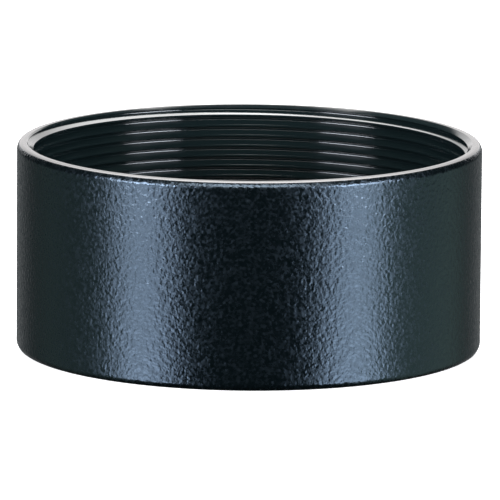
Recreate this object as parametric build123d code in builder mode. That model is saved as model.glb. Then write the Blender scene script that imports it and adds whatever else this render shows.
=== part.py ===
from build123d import *
import os
from math import radians, sqrt, tan

os.makedirs("parts", exist_ok=True)

# Lens tube: a short, open ring turned from aluminium bar, with one metric thread cut right through
# its bore. It is a single piece. It stands on its lower end, +Z is the optical axis, and the origin
# is the centre of the lower end face. Sizes are in millimetres.

# Internal thread, 60 degree metric form, M32 x 0.75
thread_diameter = 32.0  # across the roots
thread_pitch = 0.75

# Body
tube_length = 15.0
wall_thickness = 0.8  # solid metal between the thread's roots and the outside

# Outer edge at each end, bevelled further down the wall than across the end face
edge_bevel_height = 0.4
edge_bevel_width = 0.2

# Mouth at each end: a cone that opens just past the thread's roots and leads into the first turn
mouth_clearance = 0.08  # how far the wide end of the cone stands outside the roots, on radius
mouth_angle = 45.0  # between the cone and the axis

# A sharp thread of 60 degrees is this deep. The crests are cut back to leave five eighths of it.
sharp_thread_depth = thread_pitch * sqrt(3) / 2
thread_depth = sharp_thread_depth * 5 / 8

outer_radius = thread_diameter / 2 + wall_thickness
crest_radius = thread_diameter / 2 - thread_depth
mouth_radius = thread_diameter / 2 + mouth_clearance
mouth_depth = (mouth_radius - crest_radius) / tan(radians(mouth_angle))
half_length = tube_length / 2

# Half sections are drawn on a plane through the axis whose origin is the middle of the tube, so
# that whatever is drawn at the upper end can be mirrored to the lower end.
half_section = Plane.XZ.shift_origin((0, 0, half_length))

with BuildPart() as lens_tube:
    # Wall, from the thread crests to the outside, with the outer edge of both ends bevelled
    with BuildSketch(half_section) as wall:
        with BuildLine():
            Polyline(
                (crest_radius, 0),
                (crest_radius, half_length),
                (outer_radius - edge_bevel_width, half_length),
                (outer_radius, half_length - edge_bevel_height),
                (outer_radius, 0),
                close=True,
            )
        make_face()
        mirror(about=Plane.XZ)
    revolve(axis=Axis.Z)

    # Mouths: the lead-in cone is cut out of the wall at both ends
    with BuildSketch(half_section) as mouths:
        with BuildLine():
            Polyline(
                (crest_radius, half_length),
                (mouth_radius, half_length),
                (crest_radius, half_length - mouth_depth),
                close=True,
            )
        make_face()
        mirror(about=Plane.XZ)
    revolve(axis=Axis.Z, mode=Mode.SUBTRACT)

lens_tube.part.label = "lens_tube"
export_step(lens_tube.part, "parts/lens_tube.step")
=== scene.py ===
# %% [markdown]
# # A lens tube, turned and threaded
#
# A lens tube is a short ring of black aluminium with a fine thread cut right through its bore. A lens, a
# filter or another tube is screwed into either end. The real one is made on a lathe: a ring is turned and
# a thread is cut in its bore. This lesson makes it in the same order, in metres, inside the frame that the
# solid model gives. Its finishes come first, so that the node tree can hand them out.

from math import cos, pi, radians, sin, sqrt, tan

import bmesh
import bpy
from mathutils import Matrix, Vector


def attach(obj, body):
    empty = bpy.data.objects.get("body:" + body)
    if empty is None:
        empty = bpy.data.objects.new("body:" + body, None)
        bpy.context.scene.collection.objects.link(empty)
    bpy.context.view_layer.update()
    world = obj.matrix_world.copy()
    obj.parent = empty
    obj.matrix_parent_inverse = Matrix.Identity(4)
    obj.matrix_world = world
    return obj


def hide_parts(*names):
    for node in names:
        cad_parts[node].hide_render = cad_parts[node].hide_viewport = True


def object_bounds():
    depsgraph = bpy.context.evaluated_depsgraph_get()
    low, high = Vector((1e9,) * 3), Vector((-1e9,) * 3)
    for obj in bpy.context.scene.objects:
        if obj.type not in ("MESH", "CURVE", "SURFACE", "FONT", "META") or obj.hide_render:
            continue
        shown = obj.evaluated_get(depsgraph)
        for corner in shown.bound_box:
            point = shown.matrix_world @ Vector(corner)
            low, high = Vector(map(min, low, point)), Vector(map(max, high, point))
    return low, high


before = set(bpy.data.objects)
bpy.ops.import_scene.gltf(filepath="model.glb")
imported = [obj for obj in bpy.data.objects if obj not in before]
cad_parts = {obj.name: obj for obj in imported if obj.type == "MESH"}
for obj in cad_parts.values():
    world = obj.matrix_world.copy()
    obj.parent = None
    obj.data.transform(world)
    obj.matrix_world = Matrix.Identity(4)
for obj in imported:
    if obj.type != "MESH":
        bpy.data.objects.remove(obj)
solid_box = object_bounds()
print("solid model:", [round(1000 * (high - low), 3) for low, high in zip(*solid_box)], "mm")

# %% [markdown]
# ## Sizes
#
# The length and the outside come from the solid model's box, so the dressed tube can't drift from it. The
# thread is a metric one, M32 x 0.75, with its flanks 60 degrees apart. A sharp thread of that angle is 0.866
# pitches deep, and cutting its crests back leaves five eighths of that. The mouth of each end is a cone of 45
# degrees that opens just past the thread's roots, and the outer edge has a narrow, steep bevel.

# %% Sizes of the tube and its thread
mm = 0.001

tube_bottom, tube_top = solid_box[0][2], solid_box[1][2]
tube_length = tube_top - tube_bottom
outside_radius = (solid_box[1][0] - solid_box[0][0]) / 2

thread_pitch = 0.75 * mm
flank_angle = radians(30)
root_radius = 32.0 / 2 * mm
sharp_thread_depth = thread_pitch * sqrt(3) / 2
thread_depth = sharp_thread_depth * 5 / 8
crest_radius = root_radius - thread_depth

mouth_clearance = 0.08 * mm
mouth_radius = root_radius + mouth_clearance
edge_bevel_height = 0.4 * mm
edge_bevel_width = 0.2 * mm

print("length", round(tube_length / mm, 2), "mm, outside", round(2 * outside_radius / mm, 2), "mm")
print("across the thread's crests", round(2 * crest_radius / mm, 3), "mm")
print("across the thread's roots", round(2 * root_radius / mm, 3), "mm")

# %% [markdown]
# ## A wire that does sums
#
# Geometry and materials are both built from nodes, and most of those nodes are plain arithmetic. A small
# class wraps one output of a node. Adding, subtracting, multiplying or dividing wires then adds the Math
# nodes, so a formula in this file reads like a formula. Every other kind of node comes from one function,
# which takes the node's type, its settings and what goes into its sockets.

# %% The wire and the function that adds a node
class Wire:
    """One output of a node. Sums on wires add Math nodes to the wire's own tree."""

    def __init__(self, tree, socket):
        self.tree = tree
        self.socket = socket

    def other(self, name):
        """Another output of the same node."""
        return Wire(self.tree, self.socket.node.outputs[name])

    def math(self, operation, *others):
        values = dict(enumerate((self, *others)))
        return add_node(self.tree, "ShaderNodeMath", {"operation": operation}, values)

    def __add__(self, other):
        return self.math("ADD", other)

    def __mul__(self, other):
        return self.math("MULTIPLY", other)

    def __truediv__(self, other):
        return self.math("DIVIDE", other)

    def __sub__(self, other):
        return self.math("SUBTRACT", other)

    def __rsub__(self, other):
        return (self * -1.0) + other

    def __neg__(self):
        return self * -1.0

    __radd__ = __add__
    __rmul__ = __mul__


def add_node(tree, kind, settings=None, sockets=None, output=0):
    """Adds a node, makes its settings, fills its sockets with values or wires, and returns one output."""
    node = tree.nodes.new(kind)
    for name, value in (settings or {}).items():
        if name == "items":
            grow_switch(node.index_switch_items, value)
        else:
            setattr(node, name, value)
    for name, value in (sockets or {}).items():
        socket = find_socket(node, name)
        if isinstance(value, Wire):
            tree.links.new(value.socket, socket)
        else:
            socket.default_value = value
    return Wire(tree, node.outputs[output])


def find_socket(node, name):
    """A socket by its number, its identifier or its name."""
    if isinstance(name, int):
        return node.inputs[name]
    for socket in node.inputs:
        if socket.identifier == name:
            return socket
    return node.inputs[name]


def grow_switch(items, count):
    """Gives an index switch this many items."""
    while len(items) < count:
        items.new()


# %% [markdown]
# ## Finishes
#
# Three finishes show. The outside wall carries a black coating with a fine pebbled skin, which breaks a
# reflection up into grains. The rims are smooth, and the bore is a satin black. Each one is a Principled
# shader, and only what changes over the surface is made with nodes. For the coating, one noise is the height
# of the pebbles, and a second one makes specks that are rougher or smoother than the rest. The rough specks
# catch light from further round the wall, so a band of light fades out grain by grain. Both are read from
# Object coordinates, so they stay the same size all over.

# %% Start a material
oxide_index = 1.77


def new_finish(name, colour, roughness, tint=(1.0, 1.0, 1.0)):
    """A material with a bare Principled shader, and the wire of its Object coordinates."""
    finish = bpy.data.materials.new(name)
    finish.use_nodes = True
    finish.diffuse_color = (*colour, 1.0)
    shader = finish.node_tree.nodes["Principled BSDF"]
    shader.inputs["Base Color"].default_value = (*colour, 1.0)
    shader.inputs["Roughness"].default_value = roughness
    shader.inputs["IOR"].default_value = oxide_index
    shader.inputs["Specular Tint"].default_value = (*tint, 1.0)
    place = add_node(finish.node_tree, "ShaderNodeTexCoord").other("Object")
    return finish, shader, place


# %% The pebbled coating of the outside wall
grain_size = 0.28 * mm
grain_height = 0.040 * mm
speck_size = 0.215 * mm
speck_spread = 0.5
coating_roughness = 0.26

coating, coating_shader, coating_place = new_finish(
    "pebbled_black_coating", (0.0012, 0.0030, 0.0036), coating_roughness, tint=(0.62, 0.80, 1.0)
)
coating_tree = coating.node_tree

pebbles = add_node(
    coating_tree,
    "ShaderNodeTexNoise",
    {"noise_dimensions": "3D"},
    {"Vector": coating_place, "Scale": 1 / grain_size, "Detail": 1.0, "Roughness": 0.55},
)
specks = add_node(
    coating_tree,
    "ShaderNodeTexNoise",
    {"noise_dimensions": "4D"},
    {"Vector": coating_place, "W": 3.0, "Scale": 1 / speck_size, "Detail": 1.0, "Roughness": 0.5},
)
coating_relief = add_node(
    coating_tree,
    "ShaderNodeBump",
    {},
    {"Height": pebbles, "Strength": 1.0, "Distance": grain_height},
    "Normal",
)
coating_tree.links.new(coating_relief.socket, coating_shader.inputs["Normal"])
coating_rough = (specks - 0.5) * speck_spread + coating_roughness
coating_tree.links.new(coating_rough.socket, coating_shader.inputs["Roughness"])
print("coating grain", round(grain_size / mm, 2), "mm, full relief", round(grain_height / mm, 3), "mm")

# %% [markdown]
# ## Turning marks
#
# The rims and the bore are cut by a tool while the tube spins, so whatever the tool leaves behind is a ring
# round the axis, on a flat rim as much as on a thread's flank. Noise read from the distance to the axis alone
# gives such rings everywhere at once, with no seam. They are a very low relief, and a slower noise makes the
# polish a little uneven.

# %% Rings left by the tool
mark_width = 0.07 * mm
mark_depth = 0.0008 * mm
haze_size = 1.5 * mm


def add_turning_marks(finish, shader, place, roughness, uneven):
    """Links fine rings round the axis to a finish's Normal and Roughness."""
    tree = finish.node_tree
    across = add_node(tree, "ShaderNodeSeparateXYZ", {}, {"Vector": place})
    x, y = across.other("X"), across.other("Y")
    radius = (x * x + y * y).math("SQRT")
    rings = add_node(
        tree,
        "ShaderNodeTexNoise",
        {"noise_dimensions": "1D"},
        {"W": radius, "Scale": 1 / mark_width, "Detail": 1.0, "Roughness": 0.5},
    )
    haze = add_node(
        tree,
        "ShaderNodeTexNoise",
        {"noise_dimensions": "3D"},
        {"Vector": place, "Scale": 1 / haze_size, "Detail": 2.0, "Roughness": 0.5},
    )
    relief = add_node(
        tree, "ShaderNodeBump", {}, {"Height": rings, "Strength": 1.0, "Distance": mark_depth}, "Normal"
    )
    tree.links.new(relief.socket, shader.inputs["Normal"])
    rough = (rings + haze - 1.0) * uneven + roughness
    tree.links.new(rough.socket, shader.inputs["Roughness"])


# %% The smooth rims
rim_roughness = 0.14

rim_finish, rim_shader, rim_place = new_finish("smooth_rim", (0.004, 0.005, 0.006), rim_roughness)
add_turning_marks(rim_finish, rim_shader, rim_place, rim_roughness, uneven=0.10)

# %% The satin black bore
bore_roughness = 0.13

bore_finish, bore_shader, bore_place = new_finish(
    "satin_black_bore", (0.007, 0.0135, 0.0145), bore_roughness
)
add_turning_marks(bore_finish, bore_shader, bore_place, bore_roughness, uneven=0.08)
print("turning marks", round(mark_width / mm, 3), "mm wide and", round(mark_depth / mm, 4), "mm deep")

# %% [markdown]
# ## The lathe as a node tree
#
# Everything on the tube is a section carried round one axis, so its shape follows a rule and Geometry Nodes
# are the right tool. Each size is a named input of the tree. The modifier that carries the tree gets its
# values by the sockets' identifiers, before anything is worked out.

# %% The tree and its named inputs
lathe = bpy.data.node_groups.new("lens_tube_lathe", "GeometryNodeTree")
lathe.interface.new_socket("Geometry", in_out="OUTPUT", socket_type="NodeSocketGeometry")
lathe_values = {}


def lathe_size(name, value, kind="NodeSocketFloat"):
    """Adds a named input to the tree and keeps its value for the modifier."""
    socket = lathe.interface.new_socket(name, in_out="INPUT", socket_type=kind)
    lathe_values[socket.identifier] = value


thread_start = 0.28 * thread_pitch

for size_name, size_value in {
    "Length": tube_length,
    "Outside Radius": outside_radius,
    "Edge Bevel Height": edge_bevel_height,
    "Edge Bevel Width": edge_bevel_width,
    "Mouth Radius": mouth_radius,
    "Crest Radius": crest_radius,
    "Root Radius": root_radius,
    "Pitch": thread_pitch,
    "Thread Start": thread_start,
}.items():
    lathe_size(size_name, size_value)
lathe_size("Steps Round", 256, "NodeSocketInt")

lathe_inputs = add_node(lathe, "NodeGroupInput")
length = lathe_inputs.other("Length")
outside = lathe_inputs.other("Outside Radius")
bevel_height = lathe_inputs.other("Edge Bevel Height")
bevel_width = lathe_inputs.other("Edge Bevel Width")
mouth = lathe_inputs.other("Mouth Radius")
crest = lathe_inputs.other("Crest Radius")
root = lathe_inputs.other("Root Radius")
pitch = lathe_inputs.other("Pitch")
start = lathe_inputs.other("Thread Start")
steps_round = lathe_inputs.other("Steps Round")
print(len(lathe_values), "named sizes")

# %% [markdown]
# ## Drawing a section
#
# A section is drawn as corners in a flat plane, x outwards from the axis and y up. Each corner has its own
# radius, because no real edge is sharp: a thin line of light runs along every rounded one, and that line is
# most of what shows on a black part. An Index Switch hands each point of a line its corner, and Fillet Curve
# rounds it.

# %% Corners to an outline
def outline(corners, closed):
    """A curve through (radius, height, rounding, steps) corners."""
    count = len(corners)
    here = add_node(lathe, "GeometryNodeInputIndex")
    spots = {"Index": here}
    rounds = {"Index": here}
    steps = {"Index": here}
    for number, (radius, height, rounding, step) in enumerate(corners, start=1):
        spots[number] = add_node(lathe, "ShaderNodeCombineXYZ", {}, {"X": radius, "Y": height})
        rounds[number] = rounding
        steps[number] = step
    spot = add_node(lathe, "GeometryNodeIndexSwitch", {"data_type": "VECTOR", "items": count}, spots)
    rounding = add_node(lathe, "GeometryNodeIndexSwitch", {"data_type": "FLOAT", "items": count}, rounds)
    step = add_node(lathe, "GeometryNodeIndexSwitch", {"data_type": "INT", "items": count}, steps)
    points = add_node(lathe, "GeometryNodeMeshLine", {}, {"Count": count})
    curve = add_node(lathe, "GeometryNodeMeshToCurve", {}, {"Mesh": points})
    curve = add_node(lathe, "GeometryNodeSetPosition", {}, {"Geometry": curve, "Position": spot})
    if closed:
        curve = add_node(lathe, "GeometryNodeSetSplineCyclic", {}, {"Geometry": curve, "Cyclic": True})
    return add_node(
        lathe,
        "GeometryNodeFilletCurve",
        {"mode": "POLY"},
        {"Curve": curve, "Count": step, "Radius": rounding, "Limit Radius": True},
    )


# %% [markdown]
# ## Carrying a section round the axis
#
# The section is first swept along a straight line one metre long, which gives a flat ribbon. The ribbon is
# then bent: its length becomes the turn, and each point keeps its radius and height. If the height also grows
# by one pitch a turn, the same few nodes make a screw instead of a ring, which is why this way was chosen
# over the Screw modifier or a helix curve. The two ends meet and are welded.

# %% Bend a ribbon into a ring or a screw
weld_distance = 0.001 * mm


def carry_round(section, lead):
    """The section swept once round the z axis, rising by lead on the way."""
    path = add_node(lathe, "GeometryNodeCurvePrimitiveLine", {}, {"Start": (0, 0, 0), "End": (1, 0, 0)})
    path = add_node(lathe, "GeometryNodeResampleCurve", {}, {"Curve": path, "Count": steps_round + 1})
    path = add_node(lathe, "GeometryNodeSetCurveNormal", {"mode": "Z_UP"}, {"Curve": path})
    ribbon = add_node(lathe, "GeometryNodeCurveToMesh", {}, {0: path, 1: section})
    spot = add_node(lathe, "GeometryNodeInputPosition")
    along = add_node(lathe, "ShaderNodeSeparateXYZ", {}, {"Vector": spot})
    turn = along.other("X")
    radius = -along.other("Y")
    height = -along.other("Z")
    angle = turn * (2 * pi)
    bent = add_node(
        lathe,
        "ShaderNodeCombineXYZ",
        {},
        {
            "X": radius * angle.math("COSINE"),
            "Y": radius * angle.math("SINE"),
            "Z": height + turn * lead,
        },
    )
    ring = add_node(lathe, "GeometryNodeSetPosition", {}, {"Geometry": ribbon, "Position": bent})
    return add_node(lathe, "GeometryNodeMergeByDistance", {}, {"Geometry": ring, "Distance": weld_distance})


# %% [markdown]
# ## The turned ring
#
# The blank is the ring before its thread is cut. Its bore is a little under the thread's crests, so that the
# thread's own surface replaces all of it. The list of corners runs down the inside of the section and back up
# the outside, the way round that leaves the faces looking outwards.

# %% Turn the blank
bore_left_in = 0.15 * mm
lip_round = 0.02 * mm
bevel_top_round = 0.30 * mm
bevel_foot_round = 0.5 * mm
corner_steps = 3

pilot = crest - bore_left_in
cone_drop = mouth - pilot

upper_half = [
    (pilot, length - cone_drop, 0.0, 1),
    (mouth, length, lip_round, corner_steps),
    (outside - bevel_width, length, bevel_top_round, corner_steps),
    (outside, length - bevel_height, bevel_foot_round, corner_steps),
]
lower_half = [
    (radius, length - height, rounding, steps) for radius, height, rounding, steps in upper_half
]
blank = carry_round(outline(upper_half + lower_half[::-1], True), 0.0)
print("blank: a closed section of", 2 * len(upper_half), "corners")

# %% [markdown]
# ## The thread cutter
#
# The cutter is a tap, a screw that fills the whole bore. One turn of its outline is drawn once, from crest to
# crest, instanced up a column of points one pitch apart, and welded into a single zigzag line. Bent round
# with a lead of one pitch, each turn runs into the next. The roots are round. The edges of the crests are
# broken by one small bevel each, because a rounding of many tiny steps would tilt the shading of the narrow
# flat between them. The tap stands out beyond both ends of the blank, where its open edge is drawn to a point
# on the axis, because a Boolean needs a closed tool.

# %% One turn of the thread, repeated up the axis
crest_round = 0.01 * mm
root_past = 0.06 * mm
root_round = 0.08 * mm
root_steps = 4
turns_beyond = 2

# A standard groove is three quarters of a pitch wide at the crests and an eighth wide at its root. This one
# is the same but cut deeper by root_past, which opens it a little at the crests.
crest_half = pitch * 3 / 8 + root_past * tan(flank_angle)
one_turn = outline(
    [
        (crest, pitch * -1 / 2, 0.0, 1),
        (crest, -crest_half, crest_round, 1),
        (root + root_past, pitch * -1 / 16, root_round, root_steps),
        (root + root_past, pitch * 1 / 16, root_round, root_steps),
        (crest, crest_half, crest_round, 1),
        (crest, pitch * 1 / 2, 0.0, 1),
    ],
    False,
)
turns = (length / pitch).math("CEIL") + 2 * turns_beyond
lowest_turn = add_node(lathe, "ShaderNodeCombineXYZ", {}, {"Y": pitch * -turns_beyond + start})
one_pitch_up = add_node(lathe, "ShaderNodeCombineXYZ", {}, {"Y": pitch})
column = add_node(
    lathe,
    "GeometryNodeMeshLine",
    {"mode": "OFFSET"},
    {"Count": turns, "Start Location": lowest_turn, "Offset": one_pitch_up},
)
copies = add_node(lathe, "GeometryNodeInstanceOnPoints", {}, {"Points": column, "Instance": one_turn})
copies = add_node(lathe, "GeometryNodeRealizeInstances", {}, {"Geometry": copies})
zigzag = add_node(lathe, "GeometryNodeCurveToMesh", {}, {"Curve": copies})
zigzag = add_node(lathe, "GeometryNodeMergeByDistance", {}, {"Geometry": zigzag, "Distance": weld_distance})
zigzag = add_node(lathe, "GeometryNodeMeshToCurve", {}, {"Mesh": zigzag})
open_tap = carry_round(zigzag, pitch)
print("tap:", round(tube_length / thread_pitch), "turns and", turns_beyond, "more beyond each end")

# %% Close the two ends of the tap
neighbours = add_node(lathe, "GeometryNodeInputMeshEdgeNeighbors")
open_edge = add_node(
    lathe,
    "FunctionNodeCompare",
    {"data_type": "INT", "operation": "EQUAL"},
    {"A_INT": neighbours, "B_INT": 1},
)
skirt = add_node(
    lathe,
    "GeometryNodeExtrudeMesh",
    {"mode": "EDGES"},
    {"Mesh": open_tap, "Selection": open_edge, "Offset Scale": 0.0},
)
level = add_node(
    lathe, "ShaderNodeSeparateXYZ", {}, {"Vector": add_node(lathe, "GeometryNodeInputPosition")}
).other("Z")
upper_end = level.math("GREATER_THAN", length / 2)
tip_level = upper_end * (length + pitch * 2 * (turns_beyond + 1)) - pitch * (turns_beyond + 1)
tip = add_node(lathe, "ShaderNodeCombineXYZ", {}, {"Z": tip_level})
skirt_edge = skirt.other("Top")
tap = add_node(
    lathe, "GeometryNodeSetPosition", {}, {"Geometry": skirt, "Selection": skirt_edge, "Position": tip}
)
tap = add_node(lathe, "GeometryNodeMergeByDistance", {}, {"Geometry": tap, "Distance": weld_distance})
tap = add_node(lathe, "GeometryNodeFlipFaces", {}, {"Mesh": tap})

# %% [markdown]
# ## Cutting the thread
#
# The tap is taken away from the blank with an exact Boolean. That finds the real line where the thread breaks
# out through the lead-in cone, which neither a displaced grid nor a bump can give. Faces are then smoothed,
# except across edges that turn more than 25 degrees.

# %% Take the tap away from the blank
sharp_angle = radians(25)

cut = add_node(
    lathe,
    "GeometryNodeMeshBoolean",
    {"operation": "DIFFERENCE", "solver": "EXACT"},
    {"Mesh 1": blank, "Mesh 2": tap},
)
fold = add_node(lathe, "GeometryNodeInputMeshEdgeAngle")
gentle = fold.math("LESS_THAN", sharp_angle)
cut = add_node(
    lathe, "GeometryNodeSetShadeSmooth", {"domain": "FACE"}, {"Geometry": cut, "Shade Smooth": True}
)
cut = add_node(
    lathe, "GeometryNodeSetShadeSmooth", {"domain": "EDGE"}, {"Geometry": cut, "Shade Smooth": gentle}
)

# %% [markdown]
# ## Which finish goes where
#
# The finish follows the place on the section, so it is chosen by two numbers at the middle of each face: how
# far it is from the axis and how far from the nearer end. Everything starts as bore, and then the rims and
# the outside are painted over it.

# %% Paint by radius and height
middle = add_node(
    lathe, "ShaderNodeSeparateXYZ", {}, {"Vector": add_node(lathe, "GeometryNodeInputPosition")}
)
middle_x = middle.other("X")
middle_y = middle.other("Y")
from_axis = (middle_x * middle_x + middle_y * middle_y).math("SQRT")
middle_z = middle.other("Z")
from_end = middle_z.math("MINIMUM", length - middle_z)

slack = 0.02 * mm
coating_starts = 0.3  # of the bevel's height, measured down from the end
on_rim = from_axis.math("GREATER_THAN", mouth - slack)
on_outside = from_end.math("GREATER_THAN", bevel_height * coating_starts) * on_rim

dressed = add_node(lathe, "GeometryNodeSetMaterial", {}, {"Geometry": cut, "Material": bore_finish})
for where, finish in ((on_rim, rim_finish), (on_outside, coating)):
    dressed = add_node(
        lathe, "GeometryNodeSetMaterial", {}, {"Geometry": dressed, "Selection": where, "Material": finish}
    )
whole = add_node(lathe, "GeometryNodeRealizeInstances", {}, {"Geometry": dressed})
lathe_output = lathe.nodes.new("NodeGroupOutput")
lathe.links.new(whole.socket, lathe_output.inputs["Geometry"])
print("lathe tree:", len(lathe.nodes), "nodes")

# %% [markdown]
# ## From tree to plain mesh
#
# The tree runs as a modifier on an empty mesh. Its result is copied out as a plain mesh, which is what the
# finished piece keeps, and the modifier goes. Then the mesh is measured. A closed one has no open edges, and
# its volume comes out above zero when its faces point outwards.

# %% Run the lathe
def run_lathe(name):
    """The tree's result as a plain mesh."""
    carrier = bpy.data.objects.new("lathe_carrier", bpy.data.meshes.new("lathe_carrier"))
    bpy.context.scene.collection.objects.link(carrier)
    modifier = carrier.modifiers.new("lathe", "NODES")
    modifier.node_group = lathe
    for identifier, value in lathe_values.items():
        modifier[identifier] = value
    worked = carrier.evaluated_get(bpy.context.evaluated_depsgraph_get())
    mesh = bpy.data.meshes.new_from_object(worked)
    mesh.name = name
    bpy.data.objects.remove(carrier)
    return mesh


tube_mesh = run_lathe("lens_tube_turned")
tube_mesh.transform(Matrix.Translation((0, 0, tube_bottom)))
tube = bpy.data.objects.new("lens_tube_turned", tube_mesh)
bpy.context.scene.collection.objects.link(tube)

# %% Check the mesh
checked = bmesh.new()
checked.from_mesh(tube_mesh)
open_edges = sum(1 for edge in checked.edges if len(edge.link_faces) != 2)
metal = checked.calc_volume(signed=True)
triangles = sum(len(face.verts) - 2 for face in checked.faces)
checked.free()
print("triangles", triangles, "open edges", open_edges, "volume", round(metal / mm**3, 1), "mm3")
for number, slot in enumerate(tube_mesh.materials):
    share = sum(1 for face in tube_mesh.polygons if face.material_index == number)
    print("  ", slot.name if slot else None, share, "faces")

# %% Hand the piece to the frame
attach(tube, "root")
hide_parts("lens_tube")

# %% [markdown]
# ## Floor, surroundings and lamps
#
# The tube stands on a plain white floor in a white surround. A black part is seen by what it reflects, so
# for reflections the surround is another thing. A bright screen stands behind and reaches overhead, and it
# draws the rims. A white table would show two soft patches of lamplight in front, one each side, and they lay
# two broad bands on the wall. All the rest is dark, which keeps the wall black. Two soft lamps stand above
# those patches and light the grain of the wall and the thread. They are oval, so their streaks on the thread
# thin out towards both ends. A third lamp, higher up, picks out the near bevel.

# %% The floor
floor_half = 3.0
floor_glow = 0.75
floor_mesh = bpy.data.meshes.new("floor")
floor_mesh.from_pydata(
    [(x * floor_half, y * floor_half, tube_bottom) for x, y in ((-1, -1), (1, -1), (1, 1), (-1, 1))],
    [],
    [(0, 1, 2, 3)],
)
floor = bpy.data.objects.new("floor", floor_mesh)
bpy.context.scene.collection.objects.link(floor)
floor_finish = bpy.data.materials.new("pale_floor")
floor_finish.use_nodes = True
floor_shader = floor_finish.node_tree.nodes["Principled BSDF"]
floor_shader.inputs["Base Color"].default_value = (0.9, 0.9, 0.9, 1.0)
floor_shader.inputs["Roughness"].default_value = 0.9
floor_shader.inputs["Specular IOR Level"].default_value = 0.0
floor_shader.inputs["Emission Color"].default_value = (1.0, 1.0, 1.0, 1.0)
floor_shader.inputs["Emission Strength"].default_value = floor_glow
floor_mesh.materials.append(floor_finish)
floor.visible_glossy = False
floor.visible_diffuse = False

# %% The surround
world = bpy.data.worlds.new("studio")
world.use_nodes = True
bpy.context.scene.world = world
sky = world.node_tree
sky.nodes.clear()

direction = add_node(
    sky, "ShaderNodeSeparateXYZ", {}, {"Vector": add_node(sky, "ShaderNodeTexCoord").other("Generated")}
)
behind = direction.other("Y")
overhead = direction.other("Z")
sideways = direction.math("ABSOLUTE")
off_front = sideways.math("ARCTAN2", -behind)
to_the_right = direction.math("GREATER_THAN", 0.0)


def fade(value, low, high):
    """Rises smoothly from 0 at low to 1 at high."""
    return add_node(
        sky,
        "ShaderNodeMapRange",
        {"interpolation_type": "SMOOTHSTEP"},
        {"Value": value, "From Min": low, "From Max": high, "To Min": 0.0, "To Max": 1.0},
    )


def glow(strength, colour):
    """Light from the surround, of one colour, where strength is above 0."""
    return add_node(sky, "ShaderNodeBackground", {}, {"Strength": strength, "Color": (*colour, 1.0)})


# %% Where the surround is bright
# A direction is a unit vector, so 0.5 overhead is 30 degrees above the horizon.
lamp_turn = 54.0

screen = fade(behind, 0.0, 0.25) * fade(overhead, -0.02, 0.05) * fade(sideways, 0.48, 0.41)
screen_light = screen * (fade(overhead, 0.3, 0.95) * 6.0 + fade(overhead, 0.91, 0.96) * 6.0 + 1.5)
table_light = fade(overhead, 0.0, -0.1) * fade(behind, 0.6, 1.0) * 0.25 + 0.012
at_the_sides = fade(overhead, 0.05, -0.1) * fade(sideways, 0.5, 0.85) * fade(behind, 0.9, 0.4)
side_light = at_the_sides * (to_the_right * 0.22 + 0.18)

# A lit patch on the table under each lamp, brighter nearer to the tube
off_lamp = (off_front - radians(lamp_turn)).math("ABSOLUTE")
band = fade(off_lamp, radians(18), radians(11)) * fade(overhead, 0.0, -0.06) * fade(overhead, -0.62, -0.5)
band_light = band * (fade(overhead, -0.1, -0.4) * 2.5 + 2.4)

glows = (
    glow(screen_light, (1.0, 0.98, 0.98)),
    glow(table_light, (0.95, 1.0, 1.0)),
    glow(side_light, (0.72, 1.0, 0.88)),
    glow(band_light, (0.92, 1.0, 1.15)),
)
room = glows[0]
for extra in glows[1:]:
    room = add_node(sky, "ShaderNodeAddShader", {}, {0: room, 1: extra})
paper = glow(1.0, (1.0, 1.0, 1.0))
seen = add_node(sky, "ShaderNodeLightPath").other("Is Camera Ray")
mixed = add_node(sky, "ShaderNodeMixShader", {}, {0: seen, 1: room, 2: paper})
sky_output = sky.nodes.new("ShaderNodeOutputWorld")
sky.links.new(mixed.socket, sky_output.inputs["Surface"])


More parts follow.
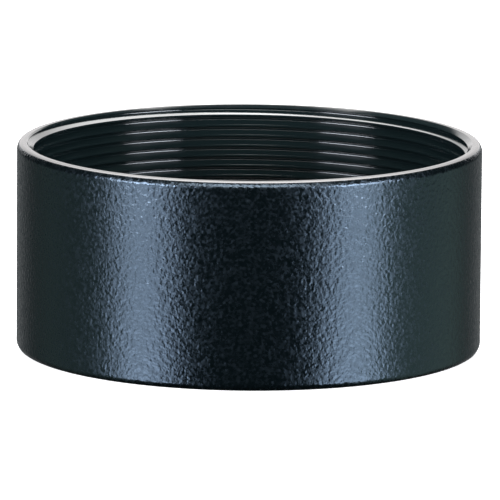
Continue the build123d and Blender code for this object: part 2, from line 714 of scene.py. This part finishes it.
# %% The lamps
def soft_lamp(name, turn, away, level, width, height, watts, colour=(1.0, 1.0, 1.0)):
    """An oval soft lamp, turn degrees round from the front towards +X, facing the tube."""
    lamp = bpy.data.lights.new(name, "AREA")
    lamp.shape = "ELLIPSE"
    lamp.size = width
    lamp.size_y = height
    lamp.energy = watts
    lamp.color = colour
    stand = bpy.data.objects.new(name, lamp)
    bearing = radians(turn)
    stand.location = (away * sin(bearing), -away * cos(bearing), level)
    aim = Vector((0, 0, tube_length / 2)) - stand.location
    stand.rotation_euler = aim.to_track_quat("-Z", "Y").to_euler()
    bpy.context.scene.collection.objects.link(stand)


lamp_blue = (0.93, 0.98, 1.08)

for lamp_name, turn in (("left_lamp", -lamp_turn), ("right_lamp", lamp_turn)):
    soft_lamp(lamp_name, turn, away=0.34, level=0.085, width=0.20, height=0.12, watts=0.9, colour=lamp_blue)
soft_lamp("front_lamp", 0.0, away=0.25, level=0.24, width=0.40, height=0.12, watts=0.75)

# %% [markdown]
# ## Camera
#
# The tube is seen from a little above with a long lens, so its near and far rims look almost the same width.
# The camera stands at azimuth 0 and looks along +Y. Its lens is worked out from how many tube radii fit
# across the frame, and it is rolled a fraction of a degree, as a hand-set camera is.

# %% Set the camera
camera_rise = 10.537
camera_roll = 0.407
radii_away = 38
camera_away = radii_away * outside_radius
frame_pixels = 500
pixels_per_radius = 232.25
centre_across, centre_down = 248.89, 243.98

camera_data = bpy.data.cameras.new("camera")
camera = bpy.data.objects.new("camera", camera_data)
bpy.context.scene.collection.objects.link(camera)
bpy.context.scene.camera = camera

look_at = Vector((0, 0, tube_length / 2))
back = Vector((0, -cos(radians(camera_rise)), sin(radians(camera_rise))))
camera.location = look_at + back * camera_away
turned = (-back).to_track_quat("-Z", "Y").to_matrix().to_4x4()
rolled = turned @ Matrix.Rotation(radians(camera_roll), 4, "Z")
camera.rotation_euler = rolled.to_euler()
frame_width = frame_pixels / pixels_per_radius * outside_radius
camera_data.sensor_width = 36.0
camera_data.lens = camera_data.sensor_width * camera_away / frame_width
camera_data.shift_x = (frame_pixels / 2 - centre_across) / frame_pixels
camera_data.shift_y = (centre_down - frame_pixels / 2) / frame_pixels
camera_data.clip_start = 0.01
camera_data.clip_end = 20.0
bpy.context.scene.view_settings.view_transform = "Standard"
print("lens", round(camera_data.lens), "mm, camera", round(camera_away, 3), "m away")
